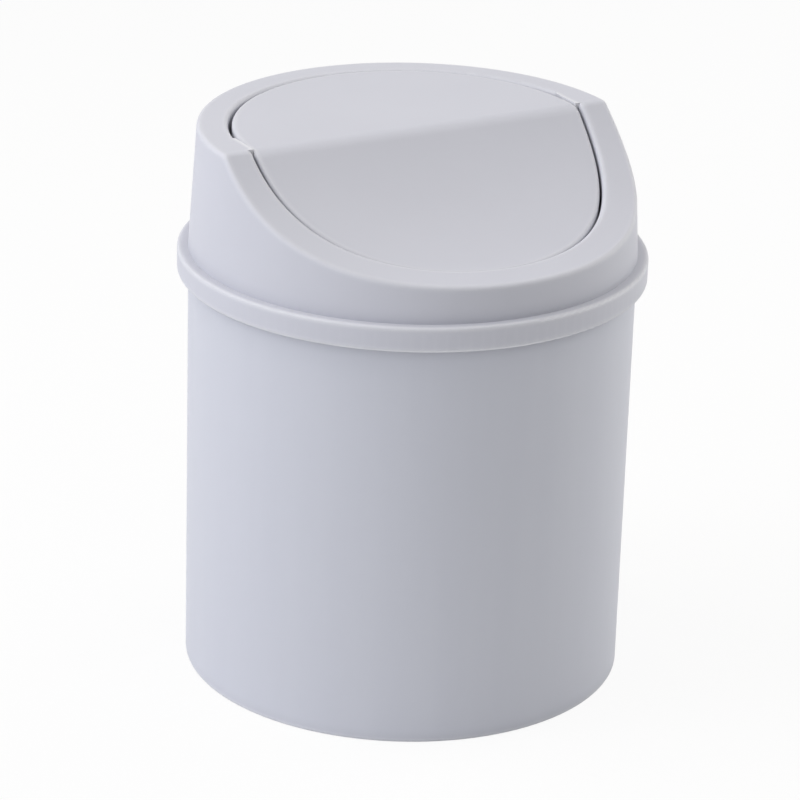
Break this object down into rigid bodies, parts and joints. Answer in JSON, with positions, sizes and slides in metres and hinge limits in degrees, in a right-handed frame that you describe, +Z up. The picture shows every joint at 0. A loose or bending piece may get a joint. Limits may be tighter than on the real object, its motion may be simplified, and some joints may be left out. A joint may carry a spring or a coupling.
{
  "type": "desktop trash can",
  "caption": "Round desktop trash can: a straight-sided bucket with a lift-off hood lid, whose scooped sloping top holds a weighted flap that tips open under a push and swings shut.",
  "frame": {"origin": "centre of the foot ring, on the table", "axes": "+Z up through the middle of the bucket; +X along the flap's ridge and its pivot pins; -Y towards the low, scooped front of the lid"},
  "size_m": [0.13, 0.13, 0.1573],
  "materials": {
    "bucket_plastic": "satin",
    "lid_plastic": "satin",
    "flap_plastic": "satin",
    "weight_steel": "zinc plated"
  },
  "bodies": {
    "bucket": {"bucket": "bucket_plastic"},
    "lid": {"lid_hood": "lid_plastic"},
    "flap": {"swing_flap": "flap_plastic", "counterweight": "weight_steel"}
  },
  "joints": [
    {"name": "lid_lift", "type": "slide", "parent": "bucket", "child": "lid", "axis": [0, 0, 1], "range_m": [0, 0.08]},
    {"name": "flap_swing", "type": "hinge", "parent": "lid", "child": "flap", "pos_m": [0, 0.0046, 0.1518], "axis": [1, 0, 0], "range_deg": [0, 75]}
  ]
}
